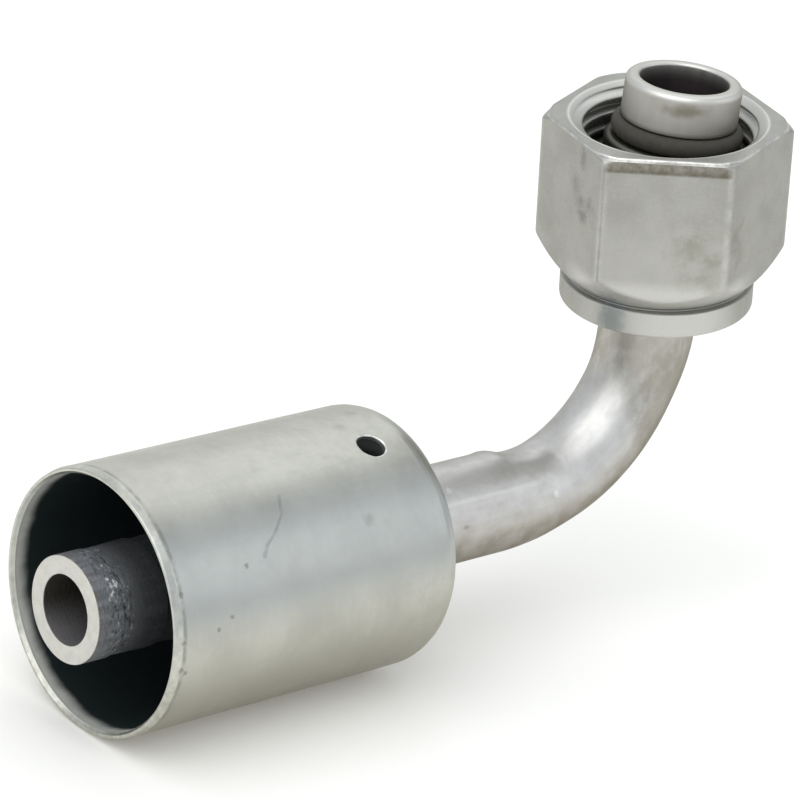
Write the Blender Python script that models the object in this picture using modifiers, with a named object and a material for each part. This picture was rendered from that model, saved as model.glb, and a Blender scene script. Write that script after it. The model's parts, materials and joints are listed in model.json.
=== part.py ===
"""Ninety degree crimp fitting for a hydraulic or refrigerant hose, with a captive ferrule and a swivel nut.

Frame: the origin is the centre of the O-ring seat, on the swivel axis. +Z points out of the nut, and the
hose end points towards -X. The object is symmetric about the plane Y = 0, apart from the sight hole.
"""

import math

import bmesh
import bpy

MM = 0.001

# Layout of the two axes
HOSE_AXIS_Z = -37.0 * MM      # height of the hose axis, measured from the O-ring seat
MOUTH_X = -70.0 * MM          # plane of the ferrule's mouth
STEM_PROUD = 2.9 * MM         # how far the stem stands out of the mouth

# Bent tube
TUBE_RADIUS = 5.2 * MM        # as drawn, on the hose side
BEND_TUBE_RADIUS = 4.65 * MM  # where the bending die has flattened it
NECK_RADIUS = 4.95 * MM       # under the nut
TUBE_BORE_RADIUS = 3.9 * MM
BEND_RADIUS = 16.2 * MM
DIE_MARK_X = -18.7 * MM       # where the bending die gripped the tube
TUBE_END_X = -35.6 * MM       # end of the tube, inside the stem's socket
BEND_EASE = 0.8               # share of the bend after which the tube grows back to the neck's radius
BEND_STEPS = 16
PROFILE_RESOLUTION = 10       # of a swept section: 24 sides

# Bead, seat and pilot at the tube's port end
PILOT_RADIUS = 5.98 * MM
PILOT_BORE_RADIUS = 4.58 * MM
PILOT_TOP = 6.4 * MM
PILOT_BORE_DEPTH = 1.2 * MM   # how far the pilot's bore runs below the seat
LIP_RADIUS = 0.7 * MM
GROOVE_RADIUS = 5.15 * MM
GROOVE_TOP = 2.1 * MM
BEAD_RADIUS = 7.3 * MM
BEAD_HEIGHT = 2.4 * MM
BEAD_ROUND = 0.6 * MM
BEAD_FOOT = 3.6 * MM          # where the cone under the bead meets the tube
BEAD_FOOT_STEP = 0.3 * MM     # how far the cone's foot stands out of the tube

# O-ring
RING_MAJOR = 6.25 * MM
RING_MINOR = 0.8 * MM
RING_SECTION_SIDES = 10

# Hose stem, measured from its bright end along the hose axis
STEM_RADIUS = 5.3 * MM
STEM_BORE_RADIUS = 3.48 * MM
STEM_EDGE = 0.15 * MM
NOSE_LENGTH = 3.0 * MM
BARB_DEPTH = 0.45 * MM
BARB_PITCH = 5.2 * MM
BARB_DROP = 0.1 * MM          # length of the sharp drop in front of each barb
BARB_CLIMB_START = 1.3 * MM
BARB_CLIMB_END = 4.42 * MM
BARB_COUNT = 6
COLLAR_START = 35.7 * MM
COLLAR_RADIUS = 8.2 * MM
CATCH_START = 37.75 * MM      # the groove that the ferrule's rear wall turns in
CATCH_END = 39.25 * MM
CATCH_RADIUS = 6.5 * MM
LOCK_RADIUS = 7.3 * MM        # the swaged lip behind the ferrule
LOCK_CHAMFER = 0.6 * MM
STEM_END = 41.2 * MM
SOCKET_START = 37.0 * MM
SOCKET_RADIUS = 5.5 * MM

# Braze fillet round the tube, behind the stem
BRAZE_GAP = 0.3 * MM
BRAZE_LENGTH = 1.6 * MM
BRAZE_RADIUS = 6.9 * MM
BRAZE_FEATHER = 0.1 * MM      # thickness of the fillet's thin end
BRAZE_STEPS = 5

# Ferrule, measured from its mouth
FERRULE_RADIUS = 13.25 * MM
FERRULE_LENGTH = 36.0 * MM
FERRULE_WALL = 0.75 * MM
FERRULE_REAR_WALL = 0.9 * MM
FERRULE_CORNER = 2.6 * MM
FERRULE_HOLE_RADIUS = 6.8 * MM
MOUTH_ROUND = 0.3 * MM
SIGHT_HOLE_POSITION = 29.5 * MM
SIGHT_HOLE_RADIUS = 1.45 * MM
SIGHT_HOLE_DEPTH = 3.0 * MM
SIGHT_HOLE_ANGLE = math.radians(19.0)  # from the top, towards -Y

# Swivel nut, measured along its own axis from the point that it leans about
NUT_PIVOT_Z = -11.5 * MM
NUT_LEAN = math.radians(-6.1)          # the loose nut leans towards the hose end
NUT_TURN = math.radians(17.0)          # azimuth of one corner of the hexagon
ACROSS_FLATS = 22.225 * MM
NUT_TOP = 14.0 * MM
NUT_BOTTOM = -6.05 * MM
NUT_TOP_CHAMFER_RADIUS = 11.6 * MM
NUT_TOP_CHAMFER_ANGLE = math.radians(30.0)
HEX_BOTTOM = 0.8 * MM                  # where the lower chamfer starts at the corners
UNDERCUT_Z = -3.0 * MM
UNDERCUT_RADIUS = 9.35 * MM
NUT_COLLAR_RADIUS = 9.97 * MM
NUT_COLLAR_TOP = -3.4 * MM
NUT_EDGE = 0.35 * MM
NUT_HOLE_RADIUS = 5.9 * MM
THREAD_RADIUS = 9.0 * MM               # midway between the crests and the roots
THREAD_BOTTOM = 0.4 * MM
SHOULDER_INNER_Z = -1.3 * MM
COUNTERSINK_RADIUS = 10.34 * MM
COUNTERSINK_DEPTH = 1.1 * MM

CLEAR = 1.0 * MM                       # how far cutters run past the faces they cut
MERGE = 0.00001                        # merge distance of turned shapes
TURN_STEPS = 40
FERRULE_STEPS = 56
HOLE_SIDES = 24


def remove_everything():
    """Empty the scene, so that the file holds only this object."""
    for obj in list(bpy.data.objects):
        bpy.data.objects.remove(obj, do_unlink=True)


def new_collection(name):
    """Make a collection under the scene."""
    collection = bpy.data.collections.new(name)
    bpy.context.scene.collection.children.link(collection)
    return collection


def principled(name, color, roughness, metallic):
    """Make a plain Principled material."""
    material = bpy.data.materials.new(name)
    material.use_nodes = True
    shader = material.node_tree.nodes["Principled BSDF"]
    shader.inputs["Base Color"].default_value = (*color, 1.0)
    shader.inputs["Roughness"].default_value = roughness
    shader.inputs["Metallic"].default_value = metallic
    return material


def add_object(name, data, collection, parent=None):
    """Link a new object to a collection and give it a parent."""
    obj = bpy.data.objects.new(name, data)
    collection.objects.link(obj)
    obj.parent = parent
    return obj


def hide_cutter(obj):
    """Mark an object as a cutter: drawn as wire and never rendered."""
    obj.hide_render = True
    obj.display_type = "WIRE"


def axis_empty(name, location, rotation, collection):
    """Make an empty whose local Z is a turning axis."""
    empty = add_object(name, None, collection)
    empty.location = location
    empty.rotation_euler = rotation
    return empty


def arc(center, radius, start, end, steps):
    """Points on an arc in the (radius, height) plane, angles in degrees from the outward direction."""
    points = []
    for step in range(steps + 1):
        angle = math.radians(start + (end - start) * step / steps)
        points.append((center[0] + radius * math.cos(angle), center[1] + radius * math.sin(angle)))
    return points


def turned(name, profile, collection, parent, closed, steps=TURN_STEPS):
    """Turn a profile of (radius, height) points about the parent's Z.

    The profile runs down the outer side. A closed profile makes a ring, and an open one ends on the axis.
    """
    mesh = bpy.data.meshes.new(name)
    bm = bmesh.new()
    verts = [bm.verts.new((radius, 0.0, height)) for radius, height in profile]
    for first, second in zip(verts, verts[1:]):
        bm.edges.new((first, second))
    if closed:
        bm.edges.new((verts[-1], verts[0]))
    bm.to_mesh(mesh)
    bm.free()
    obj = add_object(name, mesh, collection, parent)
    screw = obj.modifiers.new("Turn", "SCREW")
    screw.axis = "Z"
    screw.angle = 2.0 * math.pi
    screw.steps = steps
    screw.render_steps = steps
    screw.use_merge_vertices = True
    screw.merge_threshold = MERGE
    screw.use_smooth_shade = True
    return obj


def prism(name, radius, bottom, top, sides, collection, parent, turn=0.0):
    """Make a prism along the parent's Z, with one corner at the azimuth turn."""
    mesh = bpy.data.meshes.new(name)
    bm = bmesh.new()
    bmesh.ops.create_cone(
        bm, cap_ends=True, segments=sides, radius1=radius, radius2=radius, depth=top - bottom
    )
    bm.to_mesh(mesh)
    bm.free()
    obj = add_object(name, mesh, collection, parent)
    obj.location.z = (top + bottom) / 2.0
    obj.rotation_euler.z = turn - math.pi / 2.0
    return obj


def boolean(obj, other, operation):
    """Add an exact Boolean modifier."""
    modifier = obj.modifiers.new(operation.title(), "BOOLEAN")
    modifier.object = other
    modifier.operation = operation
    modifier.solver = "EXACT"


def centreline(start_x, end_z):
    """Points of the tube's centreline, with the share of the bend that each one has reached."""
    bend_center_x = -BEND_RADIUS
    bend_center_z = HOSE_AXIS_Z + BEND_RADIUS
    points = [((start_x, 0.0, HOSE_AXIS_Z), -1.0), ((DIE_MARK_X, 0.0, HOSE_AXIS_Z), -1.0)]
    for step in range(BEND_STEPS + 1):
        share = step / BEND_STEPS
        angle = share * math.pi / 2.0
        x = bend_center_x + BEND_RADIUS * math.sin(angle)
        z = bend_center_z - BEND_RADIUS * math.cos(angle)
        points.append(((x, 0.0, z), share))
    points.append(((0.0, 0.0, end_z), 2.0))
    return points


def bend_radius_at(share):
    """The tube's outer radius: full before the die mark, flattened in the bend, eased out under the nut."""
    if share < 0.0:
        return TUBE_RADIUS
    if share <= BEND_EASE:
        return BEND_TUBE_RADIUS
    ease = min((share - BEND_EASE) / (1.0 - BEND_EASE), 1.0)
    return BEND_TUBE_RADIUS + (NECK_RADIUS - BEND_TUBE_RADIUS) * ease


def swept(name, points, radii, collection):
    """Sweep a round section with filled ends along a polyline, as a closed mesh."""
    curve = bpy.data.curves.new(name, "CURVE")
    curve.dimensions = "3D"
    curve.use_fill_caps = True
    curve.bevel_depth = 1.0 * MM
    curve.bevel_resolution = PROFILE_RESOLUTION
    spline = curve.splines.new("POLY")
    spline.points.add(len(points) - 1)
    for point, position, radius in zip(spline.points, points, radii):
        point.co = (*position, 1.0)
        point.radius = radius / curve.bevel_depth
    path = add_object(name + "_path", curve, collection)
    bpy.context.view_layer.update()
    evaluated = path.evaluated_get(bpy.context.evaluated_depsgraph_get())
    mesh = bpy.data.meshes.new_from_object(evaluated)
    mesh.name = name
    bm = bmesh.new()
    bm.from_mesh(mesh)
    bmesh.ops.remove_doubles(bm, verts=bm.verts, dist=MERGE)
    bmesh.ops.recalc_face_normals(bm, faces=bm.faces)
    bm.to_mesh(mesh)
    bm.free()
    obj = add_object(name, mesh, collection)
    obj.matrix_world = path.matrix_world
    bpy.data.objects.remove(path, do_unlink=True)
    return obj


def finish(obj, material):
    """Give a piece its material and smooth shading."""
    obj.data.materials.clear()
    obj.data.materials.append(material)
    obj.data.shade_smooth()


def make_bent_tube(parts, cutters):
    """Drawn tube with its bend, bead, seat, O-ring groove and pilot, open from end to end."""
    route = centreline(TUBE_END_X, -BEAD_HEIGHT)
    points = [position for position, share in route]
    radii = [bend_radius_at(share) for position, share in route]
    tube = swept("bent_tube", points, radii, parts)

    port = axis_empty("port_axis", (0.0, 0.0, 0.0), (0.0, 0.0, 0.0), cutters)
    lip_center = (PILOT_RADIUS - LIP_RADIUS, PILOT_TOP - LIP_RADIUS)
    profile = [(0.0, PILOT_TOP)]
    profile += arc(lip_center, LIP_RADIUS, 90.0, 0.0, 4)
    profile += [(PILOT_RADIUS, GROOVE_TOP), (GROOVE_RADIUS, GROOVE_TOP), (GROOVE_RADIUS, 0.0)]
    profile += arc((BEAD_RADIUS - BEAD_ROUND, -BEAD_ROUND), BEAD_ROUND, 90.0, 0.0, 3)
    profile += [(BEAD_RADIUS, -BEAD_HEIGHT + BEAD_ROUND)]
    profile += [(NECK_RADIUS + BEAD_FOOT_STEP, -BEAD_FOOT), (0.0, -BEAD_FOOT)]
    head = turned("port_head", profile, cutters, port, closed=False)
    hide_cutter(head)
    boolean(tube, head, "UNION")

    bore_route = centreline(TUBE_END_X - CLEAR, 0.0)
    bore_points = [position for position, share in bore_route]
    bore = swept("tube_bore", bore_points, [TUBE_BORE_RADIUS] * len(bore_points), cutters)
    hide_cutter(bore)
    boolean(tube, bore, "DIFFERENCE")

    pilot_profile = [
        (0.0, PILOT_TOP + CLEAR),
        (PILOT_BORE_RADIUS, PILOT_TOP + CLEAR),
        (PILOT_BORE_RADIUS, -PILOT_BORE_DEPTH),
        (0.0, -PILOT_BORE_DEPTH - PILOT_BORE_RADIUS / 2.0),
    ]
    pilot_bore = turned("pilot_bore", pilot_profile, cutters, port, closed=False)
    hide_cutter(pilot_bore)
    boolean(tube, pilot_bore, "DIFFERENCE")
    finish(tube, principled("drawn_aluminium", (0.56, 0.55, 0.54), 0.38, 1.0))


def barbs():
    """Profile points of the barbs, front to rear: each one climbs towards the rear and drops sharply."""
    points = []
    for index in range(BARB_COUNT):
        foot = NOSE_LENGTH + index * BARB_PITCH
        points.append((STEM_RADIUS - BARB_DEPTH, foot + BARB_DROP))
        points.append((STEM_RADIUS - BARB_DEPTH, foot + BARB_CLIMB_START))
        points.append((STEM_RADIUS, foot + BARB_CLIMB_END))
        points.append((STEM_RADIUS, foot + BARB_PITCH))
    return points


def make_hose_stem(parts, hose_axis):
    """Turned insert: bright nose, barbs, collar with the ferrule's catch groove, and the tube's socket."""
    start = MOUTH_X - STEM_PROUD
    outer = [(STEM_RADIUS - STEM_EDGE, 0.0), (STEM_RADIUS, STEM_EDGE), (STEM_RADIUS, NOSE_LENGTH)]
    outer += barbs()
    outer += [
        (STEM_RADIUS, COLLAR_START),
        (COLLAR_RADIUS, COLLAR_START),
        (COLLAR_RADIUS, CATCH_START),
        (CATCH_RADIUS, CATCH_START),
        (CATCH_RADIUS, CATCH_END),
        (LOCK_RADIUS, CATCH_END),
        (LOCK_RADIUS, STEM_END - LOCK_CHAMFER),
        (LOCK_RADIUS - LOCK_CHAMFER, STEM_END),
    ]
    inner = [
        (STEM_BORE_RADIUS, 0.0),
        (STEM_BORE_RADIUS, SOCKET_START),
        (SOCKET_RADIUS, SOCKET_START),
        (SOCKET_RADIUS, STEM_END),
    ]
    profile = [(radius, start + height) for radius, height in list(reversed(outer)) + inner]
    stem = turned("hose_stem", profile, parts, hose_axis, closed=True)
    finish(stem, principled("dark_stem_metal", (0.09, 0.095, 0.1), 0.42, 0.9))


def make_braze_ring(parts, hose_axis):
    """Concave fillet of filler metal between the tube and the end of the stem."""
    start = MOUTH_X - STEM_PROUD + STEM_END + BRAZE_GAP
    inner = TUBE_RADIUS + BRAZE_GAP
    height = BRAZE_RADIUS - inner
    profile = [(inner, BRAZE_LENGTH)]
    for step in range(BRAZE_STEPS, -1, -1):
        angle = step / BRAZE_STEPS * math.pi / 2.0
        radius = inner + BRAZE_FEATHER + height * (1.0 - math.sin(angle))
        profile.append((radius, BRAZE_LENGTH * (1.0 - math.cos(angle))))
    profile.append((inner, 0.0))
    profile = [(radius, start + along) for radius, along in profile]
    ring = turned("braze_ring", profile, parts, hose_axis, closed=True)
    finish(ring, principled("braze_filler", (0.5, 0.49, 0.46), 0.45, 1.0))


def make_ferrule(parts, cutters, hose_axis):
    """Deep-drawn shell: thin side wall, rounded rear corner, holed rear wall and a sight hole."""
    inner_radius = FERRULE_RADIUS - FERRULE_WALL
    corner_center = (FERRULE_RADIUS - FERRULE_CORNER, FERRULE_LENGTH - FERRULE_CORNER)
    inner_corner = FERRULE_CORNER - FERRULE_REAR_WALL
    inner_center = (inner_radius - inner_corner, FERRULE_LENGTH - FERRULE_REAR_WALL - inner_corner)
    profile = [(FERRULE_HOLE_RADIUS, FERRULE_LENGTH)]
    profile += arc(corner_center, FERRULE_CORNER, 90.0, 0.0, 6)
    profile += arc((FERRULE_RADIUS - MOUTH_ROUND, MOUTH_ROUND), MOUTH_ROUND, 0.0, -90.0, 3)
    profile += arc((inner_radius + MOUTH_ROUND, MOUTH_ROUND), MOUTH_ROUND, -90.0, -180.0, 3)
    profile += arc(inner_center, inner_corner, 0.0, 90.0, 4)
    profile += [(FERRULE_HOLE_RADIUS, FERRULE_LENGTH - FERRULE_REAR_WALL)]
    profile = [(radius, MOUTH_X + along) for radius, along in profile]
    ferrule = turned("crimp_ferrule", profile, parts, hose_axis, closed=True, steps=FERRULE_STEPS)

    hole_bottom = FERRULE_RADIUS - SIGHT_HOLE_DEPTH
    hole_top = FERRULE_RADIUS + CLEAR
    hole = prism(
        "sight_hole_cutter", SIGHT_HOLE_RADIUS, hole_bottom, hole_top, HOLE_SIDES, cutters, None
    )
    middle = (hole_bottom + hole_top) / 2.0
    hole.rotation_euler = (SIGHT_HOLE_ANGLE, 0.0, 0.0)
    hole.location = (
        MOUTH_X + SIGHT_HOLE_POSITION,
        -middle * math.sin(SIGHT_HOLE_ANGLE),
        HOSE_AXIS_Z + middle * math.cos(SIGHT_HOLE_ANGLE),
    )
    hide_cutter(hole)
    boolean(ferrule, hole, "DIFFERENCE")
    finish(ferrule, principled("drawn_zinc_plate", (0.6, 0.61, 0.59), 0.33, 1.0))


def make_o_ring(parts):
    """Seal in the groove at the foot of the pilot."""
    bpy.ops.mesh.primitive_torus_add(
        major_radius=RING_MAJOR,
        minor_radius=RING_MINOR,
        major_segments=TURN_STEPS,
        minor_segments=RING_SECTION_SIDES,
        location=(0.0, 0.0, GROOVE_TOP / 2.0),
    )
    ring = bpy.context.object
    ring.name = "port_o_ring"
    for collection in list(ring.users_collection):
        collection.objects.unlink(ring)
    parts.objects.link(ring)
    finish(ring, principled("dark_rubber", (0.035, 0.036, 0.034), 0.55, 0.0))


def make_swivel_nut(parts, cutters):
    """Hexagon nut with a turned collar, threaded bore, countersink and a shoulder under the bead."""
    axis = axis_empty("nut_axis", (0.0, 0.0, NUT_PIVOT_Z), (0.0, NUT_LEAN, 0.0), cutters)
    corner_radius = ACROSS_FLATS / math.sqrt(3.0)
    nut = prism(
        "swivel_nut", corner_radius, NUT_BOTTOM - CLEAR, NUT_TOP + CLEAR, 6, parts, axis, NUT_TURN
    )
    reach = corner_radius + CLEAR
    top_slope = math.tan(NUT_TOP_CHAMFER_ANGLE)
    bottom_slope = (HEX_BOTTOM - UNDERCUT_Z) / (corner_radius - UNDERCUT_RADIUS)
    envelope_profile = [
        (0.0, NUT_TOP),
        (NUT_TOP_CHAMFER_RADIUS, NUT_TOP),
        (reach, NUT_TOP - (reach - NUT_TOP_CHAMFER_RADIUS) * top_slope),
        (reach, HEX_BOTTOM + (reach - corner_radius) * bottom_slope),
        (UNDERCUT_RADIUS, UNDERCUT_Z),
        (NUT_COLLAR_RADIUS, NUT_COLLAR_TOP),
        (NUT_COLLAR_RADIUS, NUT_BOTTOM + NUT_EDGE),
        (NUT_COLLAR_RADIUS - NUT_EDGE, NUT_BOTTOM),
        (0.0, NUT_BOTTOM),
    ]
    envelope = turned("nut_envelope", envelope_profile, cutters, axis, closed=False)
    bore_profile = [
        (0.0, NUT_TOP + CLEAR),
        (COUNTERSINK_RADIUS, NUT_TOP + CLEAR),
        (COUNTERSINK_RADIUS, NUT_TOP),
        (THREAD_RADIUS, NUT_TOP - COUNTERSINK_DEPTH),
        (THREAD_RADIUS, THREAD_BOTTOM),
        (NUT_HOLE_RADIUS, SHOULDER_INNER_Z),
        (NUT_HOLE_RADIUS, NUT_BOTTOM - CLEAR),
        (0.0, NUT_BOTTOM - CLEAR),
    ]
    bore = turned("nut_bore", bore_profile, cutters, axis, closed=False)
    for cutter in (envelope, bore):
        hide_cutter(cutter)
    boolean(nut, envelope, "INTERSECT")
    boolean(nut, bore, "DIFFERENCE")
    finish(nut, principled("matte_zinc_plate", (0.46, 0.47, 0.44), 0.45, 1.0))


def main():
    remove_everything()
    parts = new_collection("elbow_crimp_fitting")
    cutters = new_collection("cutters")
    hose_axis = axis_empty(
        "hose_axis", (0.0, 0.0, HOSE_AXIS_Z), (0.0, math.radians(90.0), 0.0), cutters
    )
    make_bent_tube(parts, cutters)
    make_hose_stem(parts, hose_axis)
    make_braze_ring(parts, hose_axis)
    make_ferrule(parts, cutters, hose_axis)
    make_o_ring(parts)
    make_swivel_nut(parts, cutters)


main()
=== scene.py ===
"""Looks of the elbow crimp fitting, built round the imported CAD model.

Lengths are in metres, in the frame of the CAD model: the origin is the centre of the O-ring seat,
+Z points out of the nut, and the hose end points towards -X. Every piece has a passage through it,
so each is one grid of quads that closes on itself both ways. The ferrule's grid is also opened for
its sight hole.
"""

import json
import math

import bmesh
import bpy
import numpy as np
from mathutils import Matrix, Vector, noise


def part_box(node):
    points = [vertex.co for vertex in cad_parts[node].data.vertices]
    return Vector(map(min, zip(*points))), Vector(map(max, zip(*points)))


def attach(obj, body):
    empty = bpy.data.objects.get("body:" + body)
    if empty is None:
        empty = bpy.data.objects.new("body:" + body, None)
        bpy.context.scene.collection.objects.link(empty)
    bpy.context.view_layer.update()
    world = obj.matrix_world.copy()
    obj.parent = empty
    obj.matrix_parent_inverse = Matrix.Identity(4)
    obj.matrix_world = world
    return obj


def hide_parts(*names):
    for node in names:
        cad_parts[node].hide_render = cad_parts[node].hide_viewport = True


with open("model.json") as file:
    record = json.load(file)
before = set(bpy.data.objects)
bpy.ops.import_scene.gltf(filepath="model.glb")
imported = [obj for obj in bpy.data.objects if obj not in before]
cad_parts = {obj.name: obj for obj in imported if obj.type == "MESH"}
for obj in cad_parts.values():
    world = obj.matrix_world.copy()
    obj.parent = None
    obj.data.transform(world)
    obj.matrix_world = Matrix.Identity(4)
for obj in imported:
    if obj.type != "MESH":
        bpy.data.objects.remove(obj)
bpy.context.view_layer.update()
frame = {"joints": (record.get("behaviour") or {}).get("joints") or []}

MM = 0.001

# Boxes and joints of the CAD model
tube_low, tube_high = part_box("bent_tube")
stem_low, stem_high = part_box("hose_stem")
braze_low, braze_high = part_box("braze_ring")
ferrule_low, ferrule_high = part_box("crimp_ferrule")
ring_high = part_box("port_o_ring")[1]
joints = {joint["name"]: joint for joint in frame["joints"]}

HOSE_AXIS_Z = (ferrule_low.z + ferrule_high.z) / 2.0
MOUTH_X = ferrule_low.x
FLOOR_Z = ferrule_low.z

# Bent tube
TUBE_RADIUS = 5.2 * MM
BEND_TUBE_RADIUS = 4.65 * MM
BEND_FLAT = 0.3 * MM          # how much narrower the bend is in its own plane than across it
NECK_RADIUS = 4.95 * MM
TUBE_BORE_RADIUS = 3.9 * MM
BEND_RADIUS = 16.2 * MM
DIE_MARK_X = -18.7 * MM
DIE_MARK_HEIGHT = 0.12 * MM
DIE_MARK_TURN = 0.4           # radians from the inside of the bend towards the back
NECK_BLEND = 0.72             # the share of the bend after which it becomes the neck
UNDERSIDE_SHADE_FADE = 4.0 * MM          # the end of the bend, over which the painted shade on its underside fades out
STRAIGHT_ROWS = 60
BEND_ROWS = 100
TUBE_COLUMNS = 144

# Bead, groove and pilot
PILOT_TOP = tube_high.z
PILOT_RADIUS = 5.98 * MM
PILOT_BORE_RADIUS = 4.58 * MM
PILOT_BORE_DEPTH = 1.2 * MM
GROOVE_RADIUS = 5.15 * MM
GROOVE_TOP = 2.02 * MM
BEAD_RADIUS = 7.3 * MM
BEAD_HEIGHT = 2.4 * MM
BEAD_FOOT = 3.6 * MM
SHADE_START = -8.0 * MM       # painted shade on the neck, the bead and the groove in the nut
SHADE_FULL = -5.0 * MM

# O-ring
RING_OUTER = ring_high.x - 0.28 * MM
RING_HALF_WIDTH = 0.78 * MM
RING_HALF_HEIGHT = 0.97 * MM
RING_LIFT = 0.02 * MM
RING_SIDES = 24
RING_COLUMNS = 128

# Hose stem, along the hose axis from its bright end
STEM_RADIUS = 5.3 * MM
STEM_BORE_RADIUS = 3.48 * MM
STEM_END = stem_high.x - stem_low.x
NOSE_LENGTH = 3.0 * MM
BARB_DEPTH = 0.25 * MM
BARB_PITCH = 5.2 * MM
BARB_COUNT = 6
COLLAR_START = 35.7 * MM
COLLAR_RADIUS = 8.2 * MM
CATCH_START = 37.75 * MM
CATCH_END = 39.25 * MM
CATCH_RADIUS = 6.5 * MM
LOCK_RADIUS = 7.3 * MM
SOCKET_START = 37.0 * MM
SOCKET_RADIUS = 5.5 * MM
STEM_COLUMNS = 144

# Braze fillet
BRAZE_GAP = 0.02 * MM
BRAZE_LIP = 0.08 * MM
BRAZE_COLUMNS = 96

# Ferrule, along the hose axis from its mouth
FERRULE_RADIUS = (ferrule_high.z - ferrule_low.z) / 2.0
FERRULE_LENGTH = ferrule_high.x - ferrule_low.x
FERRULE_WALL = 0.75 * MM
FERRULE_REAR_WALL = 0.9 * MM
FERRULE_CORNER = 2.6 * MM
FERRULE_HOLE_RADIUS = 6.8 * MM
FERRULE_COLUMNS = 240
FERRULE_WAVINESS = 0.035 * MM
LIP_LENGTH = 0.75 * MM
LIP_DROP = 0.2 * MM
INNER_EASE = 0.28 * MM
SIGHT_POSITION = 29.5 * MM
SIGHT_RADIUS = 1.45 * MM
SIGHT_ANGLE = math.radians(19.0)
SIGHT_CHAMFER = 0.14 * MM
PATCH_CELLS = 12              # along each side of the square that the hole takes out of the grid

# The ferrule's long scratch: degrees from the top towards the front, and mm from the mouth
SCRATCH = ((33.0, 15.8), (40.5, 15.1), (47.0, 13.6), (51.5, 12.2), (56.0, 11.5))

# Small marks on the ferrule, in the same terms
PITS = ((58.0, 9.2), (81.0, 5.1), (77.0, 6.7), (-44.0, 14.0))
CHIPS = ((83.0, 1.0), (95.0, 0.9), (97.0, 1.5), (63.0, 1.1), (-127.0, 1.0))
STAINS = ((3.5, 28.2), (-6.5, 31.6), (52.0, 24.7), (155.0, 20.0))

# Swivel nut, along its own axis from the point it leans about
ACROSS_FLATS = 22.225 * MM
NUT_TURN = math.radians(17.0)
NUT_TOP = 14.0 * MM
NUT_BOTTOM = -6.05 * MM
TOP_CHAMFER_RADIUS = 11.6 * MM
HEX_BOTTOM = 0.45 * MM
UNDERCUT_Z = -3.12 * MM
UNDERCUT_RADIUS = 9.45 * MM
NUT_COLLAR_RADIUS = 9.97 * MM
NUT_COLLAR_TOP = -3.4 * MM
NUT_HOLE_RADIUS = 5.9 * MM
SHOULDER_INNER_Z = -1.3 * MM
COUNTERSINK_RADIUS = 10.05 * MM
COUNTERSINK_SLOPE = 1.3
THREAD_PITCH = 1.5875 * MM
THREAD_MINOR = 8.65 * MM
THREAD_MAJOR = 9.525 * MM
THREAD_BOTTOM = 0.4 * MM
THREAD_TOP = NUT_TOP - 0.12 * MM
THREAD_STEPS = 15             # rows in each turn of the thread
COUNTERSINK_EDGE = 0.1 * MM
COUNTERSINK_DROP = 0.04 * MM
NUT_COLUMNS = 400
SHARPNESS = 110.0             # of the corners where the flats meet
HALF_FACE = math.pi / 6.0     # the angle from the middle of a flat to its corner
FRONT_FACE = 3                # the flat whose upper edge has a worn bevel
BEVEL_HEIGHT = 1.55 * MM
BEVEL_SLOPE = 0.17
NUT_TOP_EDGE = 0.24 * MM
CORNER_WEAR_AND_HIGHLIGHT = 0.25

# Studio. The camera's directions are along its view and down its picture.
CAMERA_PLACE = (-0.3018, -0.2829, 0.1448)
CAMERA_FORWARD = (0.63234, 0.66647, -0.39493)
CAMERA_DOWN = (-0.17414, -0.37445, -0.91075)
LENS = 193.72
FLOOR_REACH = 3.0
FLOOR_GLOW = 0.12
SKY = (0.735, 0.775, 0.815)
LIGHT_CENTER = (-0.03, 0.0, -0.02)
LIGHT_DISTANCE = 0.7

# Soft lights: azimuth and elevation in degrees, size in metres, and radiance
SOFT_LIGHTS = {
    "key": (-162.0, 56.0, 0.86, 1.35),
    "back": (33.0, 50.0, 0.5, 0.6),
    "side": (58.0, 17.0, 0.42, 0.35),
    "front": (-44.0, 23.0, 0.42, 0.47),
}


# ---- outlines and grids

def rounded(corners, steps):
    """Round a closed outline's corners: each corner is (across, along, fillet radius)."""
    points = []
    for index, (across, along, radius) in enumerate(corners):
        here = np.array((across, along))
        before = np.array(corners[index - 1][:2]) - here
        after = np.array(corners[(index + 1) % len(corners)][:2]) - here
        if radius <= 0.0:
            points.append(here)
            continue
        before_length, after_length = np.linalg.norm(before), np.linalg.norm(after)
        before, after = before / before_length, after / after_length
        half = math.acos(float(np.clip(before @ after, -1.0, 1.0))) / 2.0
        reach = min(radius / math.tan(half), 0.48 * min(before_length, after_length))
        bisector = (before + after) / np.linalg.norm(before + after)
        center = here + bisector * reach / math.cos(half)
        start, end = here + before * reach - center, here + after * reach - center
        first = math.atan2(start[1], start[0])
        sweep = math.remainder(math.atan2(end[1], end[0]) - first, math.tau)
        size = np.linalg.norm(start)
        for step in range(steps + 1):
            angle = first + sweep * step / steps
            points.append(center + size * np.array((math.cos(angle), math.sin(angle))))
    return points


def dense(points, longest, support=0.08 * MM):
    """Split an outline's long sides, with a point close to each end to keep the shading crisp."""
    filled = []
    for index, here in enumerate(points):
        following = points[(index + 1) % len(points)]
        filled.append(here)
        length = np.linalg.norm(following - here)
        if length < 3.0 * support:
            continue
        filled.append(here + (following - here) * support / length)
        count = int(length / longest)
        for step in range(1, count + 1):
            share = step / (count + 1)
            if support < share * length < length - support:
                filled.append(here + (following - here) * share)
        filled.append(here + (following - here) * (length - support) / length)
    return np.array(filled)


def turn(columns):
    """A full turn in even steps."""
    return np.linspace(0.0, math.tau, columns, endpoint=False)


def axis_distance(local):
    """Each point's distance from its piece's own axis."""
    return np.hypot(local[:, 0], local[:, 1])


def placed(points, origin, x_axis, y_axis, z_axis):
    """Local points in the frame of the CAD model."""
    basis = np.array((x_axis, y_axis, z_axis), float)
    return points @ basis + np.array(origin, float)


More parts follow.
